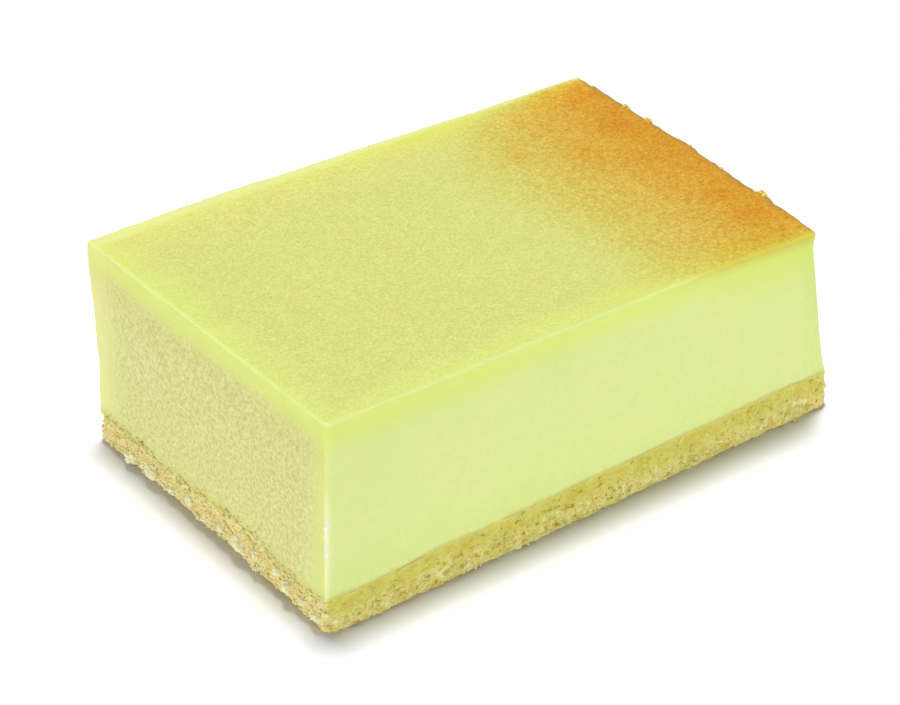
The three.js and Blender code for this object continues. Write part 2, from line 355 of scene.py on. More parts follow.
right_rim = ((0, 88.0), (2.5, 88.25), (7, 88.5), (9.5, 88.3), (12.6, 88.7), (13.6, 87.9),
             (17.5, 88.15), (19.5, 88.5), (22, 88.5), (26, 88.8), (28.5, 89.25), (31.5, 89.35),
             (34, 89.2), (36.5, 89.45), (41, 89.3), (46, 89.45), (51, 89.7), (54, 89.4),
             (56.2, 89.5))
back_rise = ((6, 0.15), (14, 0.15), (18, 0.5), (23, 0.5), (27, 0.65), (30.5, 0.95), (34.4, 1))
far_swell = ((0, 0.1), (8, 0.35), (14, 0.55), (24, 0.8), (34, 0.65), (50, 0.5), (62, 0.4),
             (74, 0.2), (95.6, 0.3))


def join_height(x, y):
    """Height of the join: a gently rising plane that wanders near the rim."""
    fade = 6
    weights = [1 - ramp(gap_shade, 0, fade) for gap_shade in (y, x, WIDTH - y, LENGTH - x)]
    waves = [along(front_wave, x), along(left_wave, y), along(back_wave, x),
             along(right_wave, y)]
    wave = sum(w * v for w, v in zip(weights, waves)) / np.maximum(1, sum(weights))
    return BASE_THICK + BASE_CLIMB * x + wave


def top_height(x, y):
    far_rise = 0.3 * along(far_swell, x) * ramp(y, 38, 56) - 0.05 * ramp(y, 30, 56)
    return HEIGHT - 0.8 * ramp(x, 66, 88) * (1 - ramp(y, 0, 16)) + far_rise


def left_face(y, z):
    lean = 0.92 * (0.2 + 0.8 * np.clip(y / WIDTH, 0, 1))
    return CUT_INSET - lean * ramp(z, 10.5, 36)


def right_face(y, z):
    climb = np.clip((z - 4.5) / 27, 0, 1)
    overhang = mix(0.05, 0.25, ramp(y, 0, 5)) * ramp(z, 33.1, 34.2)
    rim_line = 88.0 + 1.5 * y / WIDTH
    wander = (along(right_rim, y) - rim_line) * ramp(z, 22, 33)
    return mix(LENGTH - END_INSET, rim_line - 0.25, climb) + wander + overhang


def front_face(x, z):
    return CUT_INSET + (0.35 - 0.009 * x) * ramp(z, 8, 32)


def back_face(x, z):
    swell = 1.05 - 1.75 * (x / LENGTH)
    swell += 0.6 * along(far_swell, x) * ramp(z, 24, 33)
    return WIDTH - CUT_INSET + swell * along(back_rise, z) - 0.25 * ramp(z, 30, 34)


# ---------------------------------------------------------------------------
# Biscuit base: crushed biscuit pressed with butter and baked under the filling. A paste
# of fine crumb, smoother and darker just under the filling, broken and grainy lower down.
def rim_point(turn):
    """Points on the base's rounded rectangle and their outward directions, for turns 0 to 1."""
    radius = 1.9
    runs = (WIDTH - 2 * radius, LENGTH - 2 * radius) * 2
    starts = ((LENGTH, radius), (LENGTH - radius, WIDTH), (0, WIDTH - radius), (radius, 0))
    ways = ((0, 1), (-1, 0), (0, -1), (1, 0))
    outs = ((1, 0), (0, 1), (-1, 0), (0, -1))
    arc = math.pi / 2 * radius
    rest = turn * (sum(runs) + 4 * arc)
    place, out = np.zeros((len(turn), 2)), np.zeros((len(turn), 2))
    for run, start, way, side in zip(runs, starts, ways, outs):
        start, way, side = (np.array(v, float) for v in (start, way, side))
        on_run = (rest >= 0) & (rest < run)
        place[on_run] = start + way * rest[on_run, None]
        out[on_run] = side
        on_arc = (rest >= run) & (rest < run + arc)
        angle = ((rest[on_arc] - run) / radius)[:, None]
        swung = side * np.cos(angle) + way * np.sin(angle)
        place[on_arc] = start + way * run - side * radius + swung * radius
        out[on_arc] = swung
        rest = rest - run - arc
    return place, out


base_steps = 1400
left_bites = ((0, -0.2), (3, 0.2), (5.5, 0.55), (9.9, 1.1), (14.4, 0.5), (17.3, 0.6),
              (20.2, 1.3), (23.2, 1.5), (26.1, 1.0), (29.6, 0.7), (32, 1.3), (34.9, 1.1),
              (37.9, 0.9), (40.5, 0.6), (44.6, 0.8), (49.6, 0.6), (52, 0), (56.2, 0))
# The section runs from the middle of the underside, up the side, to the middle of the join.
# It says how far out each ring lies, and at what share of the base's height.
under = [(out, 0.0) for out in (0.0, 0.5, 0.84, 0.9, 0.93, 0.95, 0.965, 0.978)]
foot_round = [(0.988, 0.01), (0.995, 0.03)]
side = [(1.0, up) for up in np.linspace(0.06, 1.0, 33)]
over = [(out, 1.0) for out in (0.997, 0.99, 0.98, 0.968, 0.85, 0.5, 0.0)]
section = np.array(under + foot_round + side + over)
ring_count = len(section) - 2
rim_place, rim_out = rim_point((np.arange(base_steps) + 0.5) / base_steps)
reach = np.repeat(section[1:-1, 0], base_steps)
share = np.repeat(section[1:-1, 1], base_steps)
outward = np.tile(rim_out, (ring_count, 1))
middle = np.array([LENGTH / 2, WIDTH / 2])
plan = mix(middle, np.tile(rim_place, (ring_count, 1)), reach[:, None])
height = share * join_height(plan[:, 0], plan[:, 1])
plan_points = np.column_stack([plan, 0 * height])
base_points = np.column_stack([plan, height])

# Relief of the sides: packed grains with pits, smoother above, torn open at the left end.
left_end = ramp(-outward[:, 0], 0.3, 0.9)
right_end = ramp(outward[:, 0], 0.3, 0.9)
front_side = ramp(-outward[:, 1], 0.3, 0.9)
broken = mix(0.5 + 0.06 * relief(base_points, 4.0), 1.1, np.maximum(left_end, right_end))
crumbly = 1 - 0.72 * ramp(share, broken - 0.3, broken + 0.34)
edge = ramp(reach, 0.9, 0.985)
broad = 0.5 * relief(base_points, 2.6) + 0.5 * relief(base_points + 30, 5.5)
big_near, big_next, big_tone = grains(base_points, 1.35)
small_near, small_next, small_tone = grains(base_points + 7, 0.62)
packed = (0.26 * np.minimum(1, big_next - big_near) - 0.14
          + 0.3 * np.minimum(1, small_next - small_near) + 0.1 * (0.5 - small_near))
pitted = np.clip(relief(base_points + 11, 1.1) - 0.3, 0, 1) * (1 - 0.6 * left_end)
torn = 1 + 0.5 * left_end
bulge = 0.25 + 0.22 * front_side * (1 - ramp(plan[:, 0], 50, 72))
out_by = (mix(0.1, 0.26, crumbly) * broad + crumbly * torn * (packed - 0.4 * pitted)
          + 0.04 * relief(base_points, 0.7) + (1 - crumbly) * 0.05 * relief(base_points, 1.6)
          - 0.29 * ramp(share, 0.5, 1)
          + bulge * np.abs(outward[:, 1]) * (1 - ramp(share, 0.1, 0.8))
          - 0.12 * (1 - front_side) * (1 - ramp(share, 0, 0.3)))

# The top rings tuck in under the filling, and the foot is undercut where crumbs broke off.
lip = (share > 0.999) * (reach > 0.985) * (1 - right_end)
out_by = np.where(share > 0.9, np.maximum(out_by, -0.31), out_by)
out_by = mix(out_by, -0.4 + 0.03 * relief(base_points, 1.3), lip)
undercut = np.clip(1 - share / 0.34, 0, 1) ** 1.5 * ramp(reach, 0.93, 0.99)
bitten = along(left_bites, plan[:, 1]) * left_end
out_by -= undercut * (0.2 * (1 - front_side) + 0.9 * bitten)
base_points[:, :2] += outward * (out_by * edge)[:, None]
rim_broken = 0.5 + 0.5 * relief(base_points + 12, 4.4) + 0.35 * relief(base_points + 25, 1.3)
base_points[:, 2] += undercut * (0.4 * np.maximum(0.25, rim_broken) + 0.7 * bitten)
base_points[:, 2] += 0.12 * crumbly * edge * (share < 0.95) * relief(base_points + 15, 0.9)
lip_rise = mix(0.14, -0.06, reach > 0.9985)
lip_rise += 0.1 * relief(plan_points, 2.1) + 0.08 * relief(plan_points, 0.8)
base_points[:, 2] += lip * np.maximum(-0.08, lip_rise)
base_points[:, 2] += right_end * (share > 0.95) * edge * 0.16 * relief(base_points + 5, 1.0)
low_limit, high_limit = (np.array(corner) / MM + CORNER for corner in cad_box)
base_points = np.clip(base_points, low_limit, high_limit)
pale_patches = ramp(relief(base_points + 40, 3.1), -0.6, 0.4)

# Rings of quads, closed by a fan round the middle of the underside and of the join.
poles = np.array([[*middle, 0.0], [*middle, join_height(*middle)]])
base_points = np.concatenate([poles, base_points])
step = np.arange(base_steps)
after = (step + 1) % base_steps
base_faces = [(0, 2 + b, 2 + a) for a, b in zip(step, after)]
for ring in range(ring_count - 1):
    low, high = 2 + ring * base_steps, 2 + (ring + 1) * base_steps
    base_faces += np.column_stack([low + step, low + after, high + after, high + step]).tolist()
last = 2 + (ring_count - 1) * base_steps
base_faces += [(1, last + a, last + b) for a, b in zip(step, after)]


def with_poles(values):
    return np.concatenate([[0.0, 0.0], values])


def crumb_material(name, stops, spread, rough, grit_depth=0.00009, crevice_shade_amount=0.35):
    """Baked biscuit: fine grains coloured by tone, mottled, gritty, with painted shade in their
    crevices.
    """
    material, tree, shader = new_material(name)
    grain_tone, grain_height = gritty(tree, 0.00055)
    wander = maths(tree, "ADD",
                   maths(tree, "MULTIPLY_ADD", grain_tone, spread, -0.5 * spread),
                   maths(tree, "MULTIPLY_ADD", mottled(tree, 0.0014, 3.0), 0.42, -0.21))
    shade = colour_ramp(tree, maths(tree, "ADD", layer(tree, "tone"), wander), stops)
    # Painted shade: each grain is darkened towards its low crevice edge.
    crevice_shade = remap(tree, grain_height, 0.0, 0.35, crevice_shade_amount, 0.0)
    shade = blend(tree, crevice_shade, shade, stops[-2][1])
    fine = maths(tree, "MULTIPLY", mottled(tree, 0.00025, 2.0), 0.00003)
    relief_height = maths(tree, "MULTIPLY_ADD", grain_height, grit_depth, fine)
    bump = add(tree, "ShaderNodeBump", {
        "Strength": 1.0, "Distance": 1.0, "Height": relief_height})
    feed(tree, shader, {
        "Base Color": shade, "Normal": bump.outputs[0], "Roughness": rough,
        "Specular IOR Level": 0.25, "Subsurface Weight": 0.15,
        "Subsurface Radius": (1.0, 0.75, 0.4), "Subsurface Scale": 0.0007})
    return material, tree, shader, shade


biscuit_stops = ((0.0, colour(251, 249, 194)), (0.25, colour(243, 239, 164)),
                 (0.5, colour(235, 229, 137)), (0.72, colour(227, 216, 116)),
                 (0.92, colour(218, 197, 98)), (1.0, colour(207, 170, 82)))


def zoned_biscuit(name, spread, rough):
    """Biscuit by zone: ochre paste below the join, tan and pale crumb at the left end, painted
    shade in the gaps between grains.
    """
    material, tree, shader, shade = crumb_material(name, biscuit_stops, spread, rough)
    grain_tone, _ = gritty(tree, 0.0005)
    warm_mask = maths(tree, "MULTIPLY", layer(tree, "warm"),
                      remap(tree, mottled(tree, 0.0006, 2.0), 0.1, 0.7, 0.15, 0.85))
    shade = blend(tree, maths(tree, "MULTIPLY", layer(tree, "pale"), 0.72),
                  shade, colour(248, 245, 196))
    shade = blend(tree, warm_mask, shade, colour(245, 223, 152))
    strip_tone = maths(tree, "MULTIPLY_ADD", grain_tone, 0.45,
                       maths(tree, "MULTIPLY", mottled(tree, 0.0019, 4.0), 0.6))
    strip = colour_ramp(tree, strip_tone, (
        (0.0, colour(226, 221, 119)), (0.5, colour(215, 208, 90)), (1.0, colour(204, 185, 60))))
    strip_amount = maths(tree, "MULTIPLY_ADD", mottled(tree, 0.0009, 3.0), 0.5,
                         maths(tree, "SUBTRACT", layer(tree, "strip"), 0.25))
    shade = blend(tree, remap(tree, strip_amount, 0.1, 0.9, 0.0, 0.9), shade, strip)
    # Painted shade: the narrow gaps between grains are darkened to tan.
    gap_shade_mask = maths(tree, "MULTIPLY", layer(tree, "gap_shade"),
                     remap(tree, mottled(tree, 0.0012, 2.0), 0.2, 0.8, 0.15, 0.65))
    shade = blend(tree, gap_shade_mask, shade, colour(209, 180, 89))
    shade = blend(tree, layer(tree, "join"), shade, colour(222, 220, 126))
    tree.links.new(shade, shader.inputs["Base Color"])
    return material


base_material = zoned_biscuit("pressed_biscuit", 0.36, 0.78)
tone = 0.5 + 0.42 * (big_tone - 0.5) + 0.25 * (small_tone - 0.5) - 0.27 * left_end
strip = ramp(share, broken - 0.25, broken + 0.3)
warm = left_end * mix(0.7, 1, ramp(share, 0.2, 0.6)) * (1 - ramp(share, 0.85, 1.0))
pale = left_end * (1 - ramp(share, 0.45, 0.8)) * pale_patches
# Painted shade in the narrow gaps between packed grains, strongest where the sides are crumbly.
gap_shade = ((1 - ramp(small_next - small_near, 0.03, 0.3)) * mix(0.35, 0.85, crumbly) * edge
       * (1 - 0.9 * left_end * ramp(share, 0.6, 0.85)))
join = mix(0.9 * ramp(share, 0.88, 1.0), 0.6 * ramp(share, 0.8, 1.0), left_end)
crumb_weight = (mix(0.3, 1, ramp(crumbly, 0.3, 0.9)) * mix(1, 1.5, left_end) * edge
                * (share < 0.97) * ramp(reach, 0.97, 0.995))
base = new_piece("biscuit_base_core", base_points, base_faces, base_material, {
    "tone": with_poles(tone),
    "strip": with_poles(strip),
    "warm": with_poles(warm),
    "pale": with_poles(pale),
    "gap_shade": with_poles(gap_shade),
    "join": with_poles(join),
    "crumbly": with_poles(crumb_weight),
})
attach(base, "root")
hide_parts("biscuit_base")

# ---------------------------------------------------------------------------
# Clumps: larger lumps of pale, less baked biscuit that stand out of the torn left end of
# the base. They are pressed into it, each at the place it has in the bar.
clump_table = ((47.4, 2.0, 1.7), (42.0, 2.7, 1.9), (36.8, 2.2, 1.0), (32.4, 3.1, 1.15),
               (28.8, 2.1, 1.0), (24.6, 3.0, 0.8), (19.9, 3.1, 1.8), (16.6, 3.6, 1.1),
               (11.2, 4.0, 1.0), (8.6, 3.0, 1.4), (5.2, 2.8, 0.9), (1.9, 2.4, 1.0))
FURTHEST_OUT, LOWEST = -1.85, 0.03
clump_centres = np.array([(0.42 * size, y, z) for y, z, size in clump_table])
clump_sizes = np.array([0.82 * size for _, _, size in clump_table])
clump_points, clump_faces, clump_tones = lumps(
    clump_centres, clump_sizes, 301, 5, 0.3, (1.0, 1.4, 0.85))
clump_points[:, 0] = np.maximum(clump_points[:, 0], FURTHEST_OUT)
clump_points[:, 2] = np.maximum(clump_points[:, 2], LOWEST)
clump_material, *_ = crumb_material("pale_biscuit", (
    (0.0, colour(248, 250, 211)), (0.4, colour(242, 242, 191)), (0.8, colour(232, 222, 150)),
    (0.9, colour(222, 205, 128)), (1.0, colour(210, 184, 104))), 0.5, 0.72)
clumps = new_piece("base_clumps", clump_points, clump_faces, clump_material,
                   {"tone": 0.15 + 0.35 * clump_tones})
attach(clumps, "root")

# ---------------------------------------------------------------------------
# Crumbs of the base: loose-looking grains of biscuit stuck all round its broken sides, in
# three sizes. They are scattered over the sides of the base and joined into one mesh a kind.
crumb_tree = bpy.data.node_groups.new("scatter_crumbs", "GeometryNodeTree")
crumb_socket = {}
for socket_name, socket_kind in (
        ("Geometry", "NodeSocketGeometry"), ("Density", "NodeSocketFloat"),
        ("Smallest", "NodeSocketFloat"), ("Largest", "NodeSocketFloat"),
        ("Sunk", "NodeSocketFloat"), ("Spread", "NodeSocketFloat"),
        ("Detail", "NodeSocketInt"), ("Seed", "NodeSocketInt"),
        ("Low", "NodeSocketVector"), ("High", "NodeSocketVector"),
        ("Material", "NodeSocketMaterial")):
    made_socket = crumb_tree.interface.new_socket(
        socket_name, in_out="INPUT", socket_type=socket_kind)
    crumb_socket[socket_name] = made_socket.identifier
crumb_tree.interface.new_socket("Geometry", in_out="OUTPUT", socket_type="NodeSocketGeometry")
given = crumb_tree.nodes.new("NodeGroupInput").outputs


def stored(name, kind="FLOAT"):
    return add(crumb_tree, "GeometryNodeInputNamedAttribute", {"Name": name},
               data_type=kind).outputs[0]


# Points where the host is crumbly, each with a size of its own and sunk into the surface.
scatter = add(crumb_tree, "GeometryNodeDistributePointsOnFaces", {
    "Mesh": given["Geometry"],
    "Density": maths(crumb_tree, "MULTIPLY", given["Density"], stored("crumbly")),
    "Seed": given["Seed"],
})
crumb_size = add(crumb_tree, "FunctionNodeRandomValue", {
    2: given["Smallest"], 3: given["Largest"], "Seed": given["Seed"]}, data_type="FLOAT")
sized = add(crumb_tree, "GeometryNodeStoreNamedAttribute", {
    "Geometry": scatter.outputs["Points"], "Name": "crumb_size",
    "Value": crumb_size.outputs[1]}, data_type="FLOAT", domain="POINT")
own_size = stored("crumb_size")
inward = maths(crumb_tree, "MULTIPLY", given["Sunk"], -1.0)
depth = maths(crumb_tree, "MULTIPLY", own_size, inward)
facing_out = add(crumb_tree, "GeometryNodeStoreNamedAttribute", {
    "Geometry": sized.outputs[0], "Name": "facing_out", "Value": scatter.outputs["Normal"]},
    data_type="FLOAT_VECTOR", domain="POINT")
sink = vector_maths(crumb_tree, "SCALE", {0: stored("facing_out", "FLOAT_VECTOR"), 3: depth})
sunk = add(crumb_tree, "GeometryNodeSetPosition", {
    "Geometry": facing_out.outputs[0], "Offset": sink})

# A ball on each point, squeezed and turned at random, with its own tone.
crumb_ball = add(crumb_tree, "GeometryNodeMeshIcoSphere", {
    "Radius": 1.0, "Subdivisions": given["Detail"]})
turn = add(crumb_tree, "FunctionNodeRandomValue", {
    0: (0.0, 0.0, 0.0), 1: (6.28, 6.28, 6.28), "Seed": given["Seed"]}, data_type="FLOAT_VECTOR")
squeeze = add(crumb_tree, "FunctionNodeRandomValue", {
    0: (0.65, 0.65, 0.65), 1: (1.15, 1.15, 1.15), "Seed": given["Seed"]},
    data_type="FLOAT_VECTOR")
scaled = vector_maths(crumb_tree, "SCALE", {0: squeeze.outputs[0], 3: own_size})
placed = add(crumb_tree, "GeometryNodeInstanceOnPoints", {
    "Points": sunk.outputs[0], "Instance": crumb_ball.outputs["Mesh"],
    "Rotation": turn.outputs[0], "Scale": scaled})
random_tone = add(crumb_tree, "FunctionNodeRandomValue", {
    2: -0.5, 3: 0.5, "Seed": given["Seed"]}, data_type="FLOAT")
new_tone = maths(
    crumb_tree, "MULTIPLY_ADD", random_tone.outputs[1], given["Spread"], stored("tone"))
toned = add(crumb_tree, "GeometryNodeStoreNamedAttribute", {
    "Geometry": placed.outputs[0], "Name": "tone", "Value": new_tone},
    data_type="FLOAT", domain="INSTANCE")
joined = add(crumb_tree, "GeometryNodeRealizeInstances", {"Geometry": toned.outputs[0]})

# Each ball is made jagged by noise of its own size and kept inside the given box.
where = crumb_tree.nodes.new("GeometryNodeInputPosition").outputs[0]
relative = vector_maths(crumb_tree, "SCALE", {
    0: where, 3: maths(crumb_tree, "DIVIDE", 0.8, own_size)})
jag_noise = add(crumb_tree, "ShaderNodeTexNoise", {
    "Vector": relative, "Scale": 1.0, "Detail": 2.0})
jag_centred = vector_maths(crumb_tree, "SUBTRACT", {
    0: jag_noise.outputs["Color"], 1: (0.5, 0.5, 0.5)})
jag = vector_maths(crumb_tree, "SCALE", {
    0: jag_centred, 3: maths(crumb_tree, "MULTIPLY", own_size, 2.0)})
jagged = add(crumb_tree, "GeometryNodeSetPosition", {
    "Geometry": joined.outputs[0], "Offset": jag})
above = vector_maths(crumb_tree, "MAXIMUM", {0: where, 1: given["Low"]})
within = vector_maths(crumb_tree, "MINIMUM", {0: above, 1: given["High"]})
kept_in = add(crumb_tree, "GeometryNodeSetPosition", {
    "Geometry": jagged.outputs[0], "Position": within})
painted = add(crumb_tree, "GeometryNodeSetMaterial", {
    "Geometry": kept_in.outputs[0], "Material": given["Material"]})
add(crumb_tree, "NodeGroupOutput", {0: painted.outputs[0]})


def scattered_crumbs(name, host_mesh, material, **sizes):
    """One kind of crumb over a mesh, kept inside the solids' box, as a plain mesh."""
    host = bpy.data.objects.new(name + "_host", host_mesh.copy())
    bpy.context.scene.collection.objects.link(host)
    modifier = host.modifiers.new("crumbs", "NODES")
    modifier.node_group = crumb_tree
    clearance = 0.00003
    low, high = (np.array(corner) for corner in cad_box)
    limits = {"Low": (low + clearance).tolist(), "High": (high - clearance).tolist()}
    for key, value in {**sizes, **limits, "Material": material}.items():
        modifier[crumb_socket[key]] = value
    view = bpy.context.evaluated_depsgraph_get()
    mesh = bpy.data.meshes.new_from_object(host.evaluated_get(view))
    mesh.name = name
    bpy.data.objects.remove(host)
    mesh.shade_smooth()
    piece = bpy.data.objects.new(name, mesh)
    bpy.context.scene.collection.objects.link(piece)
    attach(piece, "root")


coarse_material = zoned_biscuit("coarse_crumb", 0.36, 0.75)
scattered_crumbs("crumbs_coarse", base.data, coarse_material, Density=60000.0, Smallest=0.0003,
                 Largest=0.0006, Sunk=0.4, Spread=0.35, Detail=4, Seed=5)
medium_material = zoned_biscuit("medium_crumb", 0.3, 0.78)
scattered_crumbs("crumbs_medium", base.data, medium_material, Density=520000.0,
                 Smallest=0.00016, Largest=0.00034, Sunk=0.3, Spread=0.5, Detail=2, Seed=11)
fine_material = zoned_biscuit("fine_crumb", 0.3, 0.8)
scattered_crumbs("crumbs_fine", base.data, fine_material, Density=1150000.0, Smallest=0.0001,
                 Largest=0.00018, Sunk=0.15, Spread=0.8, Detail=2, Seed=17)

# ---------------------------------------------------------------------------
# Filling: baked cream cheese, cut with a hot knife on the long sides and grainy where the
# short end was cut dry. Its thin top skin browned at the oven's hot end.
def edge_lines(span, pitch):
    """Mesh lines across a side: close together beside each edge, then even."""
    close = np.array([0, 0.12, 0.26, 0.42, 0.6, 0.85])
    inner = np.linspace(close[-1], span - close[-1], int((span - 2 * close[-1]) / pitch) + 1)
    return np.concatenate([close[:-1], inner, span - close[:-1][::-1]])


x_lines = edge_lines(LENGTH, 0.85)
y_lines = edge_lines(WIDTH, 0.3)
z_lines = edge_lines(HEIGHT, 0.36)
counts = np.array([len(x_lines), len(y_lines), len(z_lines)])


def side_quads(axis, end):
    """Corner numbers of the quads on one side of the mesh box."""
    u, v = [a for a in range(3) if a != axis]
    i, j = np.meshgrid(np.arange(counts[u] - 1), np.arange(counts[v] - 1), indexing="ij")
    corners = []
    for du, dv in ((0, 0), (1, 0), (1, 1), (0, 1)):
        place = [None] * 3
        place[axis] = np.full(i.size, end * (counts[axis] - 1))
        place[u] = i.ravel() + du
        place[v] = j.ravel() + dv
        corners.append((place[0] * counts[1] + place[1]) * counts[2] + place[2])
    return np.column_stack(corners)


quads = np.concatenate([side_quads(a, e) for a, e in ((0, 0), (0, 1), (1, 0), (1, 1), (2, 1))])
codes, numbered = np.unique(quads, return_inverse=True)
filling_faces = numbered.reshape(quads.shape).tolist()
i_of, j_of, k_of = np.unravel_index(codes, counts)
around = [(i, 0) for i in range(counts[0] - 1)]
around += [(counts[0] - 1, j) for j in range(counts[1] - 1)]
around += [(i, counts[1] - 1) for i in range(counts[0] - 1, 0, -1)]
around += [(0, j) for j in range(counts[1] - 1, 0, -1)]
foot = np.searchsorted(codes, [(i * counts[1] + j) * counts[2] for i, j in around]).tolist()
filling_faces += [(len(codes), b, a) for a, b in zip(foot, foot[1:] + foot[:1])]

# The box of mesh lines, its edges rounded unevenly, then bent onto the four cut faces.
span = np.array([LENGTH, WIDTH, HEIGHT])
flat = np.column_stack([x_lines[i_of], y_lines[j_of], z_lines[k_of]])
wear = relief(flat, 2.3) + 0.5 * relief(flat + 20, 0.9)
radius = mix(0.002, 0.5 + 0.2 * wear, np.clip(3 * flat[:, 2] / HEIGHT, 0, 1))[:, None]
inner = np.clip(flat, radius, span - radius)
away = flat - inner
length = np.linalg.norm(away, axis=1, keepdims=True)
facing = away / length
flat = inner + facing * np.minimum(length, radius)
fx, fy, fz = (flat / span).T
level = mix(BASE_THICK, HEIGHT, fz)
x = mix(left_face(fy * WIDTH, level), right_face(fy * WIDTH, level), fx)
y = mix(front_face(fx * LENGTH, level), back_face(fx * LENGTH, level), fy)
FOOT_SUNK = 0.25
z = mix(join_height(x, y) - FOOT_SUNK, top_height(x, y), fz)
filling_points = np.column_stack([x, y, z])

# Surface: a fine skin on top, pores and grain on the short cut, nearly smooth knife cuts.
skin = ramp(facing[:, 2], 0.75, 0.99)
left_cut = ramp(-facing[:, 0], 0.7, 0.98)
soft = relief(filling_points, 5)
near_gap, far_gap, top_gap = y, WIDTH + 0.8 - y, top_height(x, y) - z
porous = (left_cut * ramp(near_gap + 0.7 * soft, 0.5, 7) * ramp(far_gap + 0.7 * soft, 1, 10)
          * ramp(top_gap + 0.5 * soft, 1.8, 5.8))
left_grain = left_cut * ramp(top_gap, 0.0, 0.5)
bulk = 0.06 * relief(filling_points, 9) + 0.025 * relief(filling_points, 3.1)
fine = (skin * (0.03 * relief(filling_points, 1.2) + 0.02 * relief(filling_points, 0.75))
        + left_grain * (0.05 * relief(filling_points, 0.9) + 0.05 * relief(filling_points, 2.2))
        + (1 - skin) * (1 - left_grain) * 0.012 * relief(filling_points, 1.4)
        + 0.06 * ramp(facing[:, 2], 0.15, 0.6) * (1 - skin) * relief(filling_points, 1.1))
upright = ramp(-facing[:, 0], 0.12, 0.5) * ramp(-facing[:, 1], 0.12, 0.5)
torn_edge = upright * (1 - ramp(z, 19, 25))
fine += 0.08 * torn_edge * relief(filling_points, 1.2)
rim_edge = ramp(facing[:, 0], 0.2, 0.8) * ramp(z, 31, 33)
fine += rim_edge * (0.16 * relief(filling_points, 1.7) + 0.08 * relief(filling_points + 9, 0.8))
foot_fade = np.clip(4 * fz, 0, 1)
filling_points += facing * ((bulk + fine) * foot_fade)[:, None]

# Browning: it fades in over the last third, least beside the long edges, with a few spots.
BROWN_START, BROWN_SPAN = 46, 37
held_back = ((0, 8.5), (1.5, 6.0), (2.5, 4.2), (4, 2.6), (8, 1.2), (12, 1.3), (20, 0.6),
             (24, 0.6), (32, 0), (40, 0.4), (44, 1.8), (48, 3.2), (50, 5.2), (52, 8.8),
             (53.5, 14), (56.2, 21))
most_brown = ((0, 0.42), (0.6, 0.5), (1.5, 0.72), (2.5, 0.88), (4, 1.0), (8, 1.25), (48, 1.3),
              (52, 0.95), (53.5, 0.75), (54.7, 0.45), (56.2, 0.35))
grow = (x - along(held_back, y) + 1.2 * relief(filling_points, 9)
        + 0.8 * relief(filling_points, 3.4))
brown = np.clip((grow - BROWN_START) / BROWN_SPAN, 0, 1.06) ** 1.45
brown /= (1 + (brown / along(most_brown, y)) ** 4) ** 0.25
for spot_x, spot_y, spot_size, spot_depth in (
        (65.3, 40.3, 1.8, 0.2), (83.2, 49.3, 1.5, 0.22), (86.6, 51.4, 1.9, 0.18),
        (83.6, 39.6, 2.6, 0.18), (74.5, 35.5, 3.0, 0.12), (80.6, 28.6, 2.2, 0.08),
        (82.5, 15.0, 2.0, 0.18), (82.3, 8.8, 2.2, 0.18), (72.0, 33.0, 3.0, 0.04)):
    distance = ((x - spot_x) ** 2 + (y - spot_y) ** 2) / spot_size ** 2
    brown += spot_depth * np.exp(-distance)
spill = 1.6 + 0.7 * soft + 0.4 * wear
brown *= 1 - 0.92 * ramp(top_gap, 0.05, spill) - 0.08 * ramp(top_gap, 1.5, 4.5)
brown *= 1 - 0.9 * ramp(facing[:, 0], 0.75, 0.95) * ramp(top_gap, 0.2, 1.6)
brown *= 1 - ramp(-facing[:, 1], 0.55, 0.98)

# Masks: where each colour of the filling shows, read by its material as float layers.
edge_gap = np.minimum(np.minimum(y, WIDTH - y), x) + 0.4
margin = skin * (1 - ramp(edge_gap + 1.3 * soft, 1.0, 7.0))
upper = ((1 - skin) * (1 - ramp(top_gap + 0.5 * soft, 0.6, 6.0)) * (1 - 0.3 * left_cut)
         * mix(0.5, 1, ramp(top_gap, 0, 1.6)))
golden = (1 - skin) * ramp(x, 60, 78) * (1 - ramp(top_gap + 0.5 * soft, 0.0, 11.0))
gold_edge = ramp(x, 57, 73) * np.maximum(
    (1 - skin) * (1 - ramp(top_gap + 0.2 * soft, -0.5, 2.4)),
    skin * (1 - ramp(y + 0.35 * wear, 0.0, 1.1)))
edge_line = (ramp(facing[:, 2], 0.1, 0.5) * (1 - ramp(facing[:, 2], 0.8, 0.99))
             * (1 - ramp(x, 48, 64)) * (0.75 + 0.25 * relief(filling_points, 1.6)))
near_edge = skin * (1 - ramp(y + 0.25 * wear, 0.5, 1.5)) * (1 - ramp(x, 52, 64))
far_edge = ramp(facing[:, 2], 0.3, 0.8) * ramp(y + 0.3 * soft, WIDTH - 2.4, WIDTH - 1.2)
rim = (ramp(facing[:, 2], 0.0, 0.4) * ramp(x - along(right_rim, y) + 0.25 * wear, -0.95, -0.35)
       * ramp(y, 0.3, 1.2))
left_margin = left_cut * (1 - porous) * (1 - ramp(facing[:, 2], 0.1, 0.5))
far_margin = left_cut * ramp(y, 49, 55)
fringe = skin * ramp(x, 40, 58) * (1 - ramp(np.minimum(y, WIDTH - y) + soft, 2.0, 8.0))
far_glow = skin * ramp(y + soft, 44, 52)
left_top = left_cut * (1 - ramp(top_gap + soft, 4, 12)) * ramp(top_gap, 1.0, 4.5)
right_margin = ((1 - skin) * ramp(-facing[:, 1], 0.3, 0.9)
                * ramp(x - right_face(y, z), -5.0, -0.6))
# White band on the upright front edge: pale torn cheese, partly a painted highlight along that
# edge.
fray = 0.5 + 0.5 * relief(filling_points * np.array([1, 1, 0.5]), 1.3)
pale_tear_and_highlight = (ramp(-x + 0.5 * fray, -1.25, -0.3) * ramp(-facing[:, 1], 0.1, 0.5)
              + upright) * (1 - ramp(z, 17, 26)) * (0.45 + 0.55 * fray)
foot_shade = 1 - ramp(z - join_height(x, y) + 0.25 * relief(filling_points, 1.5),
                      mix(0.0, 0.1, left_cut), mix(0.55, 1.6, left_cut))

